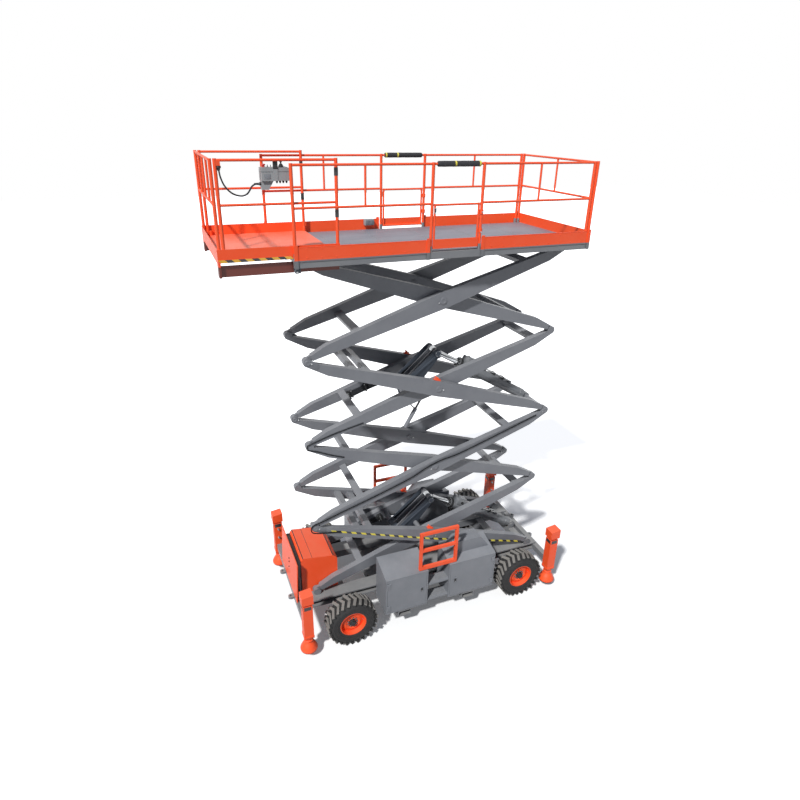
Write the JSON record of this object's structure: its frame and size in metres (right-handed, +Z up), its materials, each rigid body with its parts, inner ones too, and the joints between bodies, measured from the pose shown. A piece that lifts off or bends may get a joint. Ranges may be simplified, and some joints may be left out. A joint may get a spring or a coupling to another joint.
{
  "type": "scissor lift",
  "caption": "Rough-terrain scissor lift: wheeled chassis with cabinets and outriggers, folding arm stack, and a railed platform with a sliding extension.",
  "frame": {"origin": "on the ground, under the middle of the overall length with the extension out, in the machine's centre plane", "axes": "+X to the front, +Y to the machine's left, +Z up"},
  "size_m": [5.2539, 2.44, 7.2483],
  "materials": {
    "arm_paint": "satin",
    "box_plastic": "matt",
    "cabinet_paint": "satin",
    "cable_rubber": "matt",
    "chromed_rod": "polished",
    "cylinder_paint": "satin",
    "deck_plate": "brushed",
    "engine_iron": "matt",
    "foam_pad": "matt",
    "frame_paint": "satin",
    "orange_paint": "gloss",
    "tyre_rubber": "matt"
  },
  "bodies": {
    "chassis": {"chassis_frame": "frame_paint", "hood": "orange_paint", "front_panel": "orange_paint", "cabinets_left": "cabinet_paint", "cabinets_right": "cabinet_paint", "access_ladders": "orange_paint", "fork_pockets": "frame_paint", "engine": "engine_iron", "front_axle": "frame_paint", "rear_axle": "frame_paint", "outrigger_columns": "orange_paint"},
    "knuckle_left": {"knuckle_left": "frame_paint"},
    "knuckle_right": {"knuckle_right": "frame_paint"},
    "platform": {"platform_frame": "frame_paint", "deck": "deck_plate", "toe_boards": "orange_paint", "main_rails": "orange_paint", "gate_bars": "orange_paint", "rail_pads": "foam_pad"},
    "gate_left": {"gate_left": "orange_paint"},
    "gate_right": {"gate_right": "orange_paint"},
    "extension": {"extension_deck": "orange_paint", "extension_rails": "orange_paint", "control_box": "box_plastic", "control_cable": "cable_rubber"},
    "outer_1": {"outer_frame_1": "arm_paint"},
    "inner_1": {"inner_frame_1": "arm_paint"},
    "outer_2": {"outer_frame_2": "arm_paint"},
    "inner_2": {"inner_frame_2": "arm_paint"},
    "outer_3": {"outer_frame_3": "arm_paint"},
    "inner_3": {"inner_frame_3": "arm_paint"},
    "outer_4": {"outer_frame_4": "arm_paint"},
    "inner_4": {"inner_frame_4": "arm_paint"},
    "lower_barrel": {"lower_barrel": "cylinder_paint"},
    "lower_rod": {"lower_rod": "chromed_rod"},
    "upper_barrel": {"upper_barrel": "cylinder_paint"},
    "upper_rod": {"upper_rod": "chromed_rod"},
    "wheel_front_left": {"rim_front_left": "orange_paint", "tyre_front_left": "tyre_rubber"},
    "outrigger_front_left": {"outrigger_front_left": "orange_paint"},
    "door_front_left": {"door_front_left": "cabinet_paint"},
    "wheel_front_right": {"rim_front_right": "orange_paint", "tyre_front_right": "tyre_rubber"},
    "outrigger_front_right": {"outrigger_front_right": "orange_paint"},
    "door_front_right": {"door_front_right": "cabinet_paint"},
    "wheel_rear_left": {"rim_rear_left": "orange_paint", "tyre_rear_left": "tyre_rubber"},
    "outrigger_rear_left": {"outrigger_rear_left": "orange_paint"},
    "door_rear_left": {"door_rear_left": "cabinet_paint"},
    "wheel_rear_right": {"rim_rear_right": "orange_paint", "tyre_rear_right": "tyre_rubber"},
    "outrigger_rear_right": {"outrigger_rear_right": "orange_paint"},
    "door_rear_right": {"door_rear_right": "cabinet_paint"}
  },
  "joints": [
    {"name": "lift", "type": "hinge", "parent": "chassis", "child": "outer_1", "pos_m": [-2.327, 0, 0.68], "axis": [0, -1, 0], "range_deg": [-14.6, 41]},
    {"name": "cross_1", "type": "hinge", "parent": "outer_1", "child": "inner_1", "pos_m": [-0.366, 0, 1.35217], "axis": [0, -1, 0], "range_deg": [-82.1, 29.3]},
    {"name": "fold_1", "type": "hinge", "parent": "outer_1", "child": "outer_2", "pos_m": [1.595, 0, 2.02433], "axis": [0, -1, 0], "range_deg": [-82.1, 29.3]},
    {"name": "cross_2", "type": "hinge", "parent": "outer_2", "child": "inner_2", "pos_m": [-0.366, 0, 2.6965], "axis": [0, -1, 0], "range_deg": [-29.3, 82.1]},
    {"name": "fold_2", "type": "hinge", "parent": "inner_2", "child": "inner_3", "pos_m": [1.595, 0, 3.36866], "axis": [0, -1, 0], "range_deg": [-82.1, 29.3]},
    {"name": "cross_3", "type": "hinge", "parent": "inner_3", "child": "outer_3", "pos_m": [-0.366, 0, 4.04082], "axis": [0, -1, 0], "range_deg": [-29.3, 82.1]},
    {"name": "fold_3", "type": "hinge", "parent": "outer_3", "child": "outer_4", "pos_m": [1.595, 0, 4.71299], "axis": [0, -1, 0], "range_deg": [-82.1, 29.3]},
    {"name": "cross_4", "type": "hinge", "parent": "outer_4", "child": "inner_4", "pos_m": [-0.366, 0, 5.38516], "axis": [0, -1, 0], "range_deg": [-29.3, 82.1]},
    {"name": "platform_pivot", "type": "hinge", "parent": "outer_4", "child": "platform", "pos_m": [-2.327, 0, 6.05732], "axis": [0, -1, 0], "range_deg": [-14.65, 41.05]},
    {"name": "lower_barrel_turn", "type": "hinge", "parent": "chassis", "child": "lower_barrel", "pos_m": [-2.327, 0, 0.68], "axis": [0, -1, 0], "range_deg": [-12.77, 35.67]},
    {"name": "lower_rod_slide", "type": "slide", "parent": "lower_barrel", "child": "lower_rod", "axis": [0.8618, 0, 0.5073], "range_m": [-0.1761, 0.4909]},
    {"name": "upper_barrel_turn", "type": "hinge", "parent": "outer_2", "child": "upper_barrel", "pos_m": [-2.327, 0, 3.36866], "axis": [0, -1, 0], "range_deg": [-27.37, 76.67]},
    {"name": "upper_rod_slide", "type": "slide", "parent": "upper_barrel", "child": "upper_rod", "axis": [0.8618, 0, 0.5073], "range_m": [-0.1761, 0.4909]},
    {"name": "extension_slide", "type": "slide", "parent": "platform", "child": "extension", "axis": [1, 0, 0], "range_m": [-0.823, 0.35]},
    {"name": "gate_left_swing", "type": "hinge", "parent": "platform", "child": "gate_left", "pos_m": [-0.702, 0.905, 6.41832], "axis": [0, 0, 1], "range_deg": [-88, 0]},
    {"name": "gate_right_swing", "type": "hinge", "parent": "platform", "child": "gate_right", "pos_m": [-0.702, -0.905, 6.41832], "axis": [0, 0, 1], "range_deg": [0, 88]},
    {"name": "steer_left", "type": "hinge", "parent": "chassis", "child": "knuckle_left", "pos_m": [1.188, 0.86, 0.415], "axis": [0, 0, 1], "range_deg": [-30, 30]},
    {"name": "steer_right", "type": "hinge", "parent": "chassis", "child": "knuckle_right", "pos_m": [1.188, -0.86, 0.415], "axis": [0, 0, 1], "range_deg": [-30, 30]},
    {"name": "wheel_front_left_spin", "type": "hinge", "parent": "knuckle_left", "child": "wheel_front_left", "pos_m": [1.188, 1.015, 0.415], "axis": [0, 1, 0], "continuous": true},
    {"name": "wheel_front_right_spin", "type": "hinge", "parent": "knuckle_right", "child": "wheel_front_right", "pos_m": [1.188, -1.015, 0.415], "axis": [0, 1, 0], "continuous": true},
    {"name": "wheel_rear_left_spin", "type": "hinge", "parent": "chassis", "child": "wheel_rear_left", "pos_m": [-1.892, 1.015, 0.415], "axis": [0, 1, 0], "continuous": true},
    {"name": "wheel_rear_right_spin", "type": "hinge", "parent": "chassis", "child": "wheel_rear_right", "pos_m": [-1.892, -1.015, 0.415], "axis": [0, 1, 0], "continuous": true},
    {"name": "outrigger_front_left_lower", "type": "slide", "parent": "chassis", "child": "outrigger_front_left", "axis": [0, 0, -1], "range_m": [0, 0.45]},
    {"name": "outrigger_front_right_lower", "type": "slide", "parent": "chassis", "child": "outrigger_front_right", "axis": [0, 0, -1], "range_m": [0, 0.45]},
    {"name": "outrigger_rear_left_lower", "type": "slide", "parent": "chassis", "child": "outrigger_rear_left", "axis": [0, 0, -1], "range_m": [0, 0.45]},
    {"name": "outrigger_rear_right_lower", "type": "slide", "parent": "chassis", "child": "outrigger_rear_right", "axis": [0, 0, -1], "range_m": [0, 0.45]},
    {"name": "door_front_left_swing", "type": "hinge", "parent": "chassis", "child": "door_front_left", "pos_m": [0.611, 1.1303, 0.74], "axis": [0, 0, 1], "range_deg": [-100, 0]},
    {"name": "door_front_right_swing", "type": "hinge", "parent": "chassis", "child": "door_front_right", "pos_m": [0.611, -1.1303, 0.74], "axis": [0, 0, 1], "range_deg": [0, 100]},
    {"name": "door_rear_left_swing", "type": "hinge", "parent": "chassis", "child": "door_rear_left", "pos_m": [-1.315, 1.1303, 0.74], "axis": [0, 0, 1], "range_deg": [0, 100]},
    {"name": "door_rear_right_swing", "type": "hinge", "parent": "chassis", "child": "door_rear_right", "pos_m": [-1.315, -1.1303, 0.74], "axis": [0, 0, 1], "range_deg": [-100, 0]}
  ],
  "couplings": [
    {"joint": "cross_1", "follows": "lift", "ratio": -2},
    {"joint": "fold_1", "follows": "lift", "ratio": -2},
    {"joint": "cross_2", "follows": "lift", "ratio": 2},
    {"joint": "fold_2", "follows": "lift", "ratio": -2},
    {"joint": "cross_3", "follows": "lift", "ratio": 2},
    {"joint": "fold_3", "follows": "lift", "ratio": -2},
    {"joint": "cross_4", "follows": "lift", "ratio": 2},
    {"joint": "platform_pivot", "follows": "lift", "ratio": 1},
    {"joint": "lower_barrel_turn", "follows": "lift", "ratio": 0.8676},
    {"joint": "lower_rod_slide", "follows": "lift", "m_per_rad": 0.6832},
    {"joint": "upper_barrel_turn", "follows": "lift", "ratio": 1.8676},
    {"joint": "upper_rod_slide", "follows": "lift", "m_per_rad": 0.6832},
    {"joint": "steer_right", "follows": "steer_left", "ratio": 1}
  ]
}
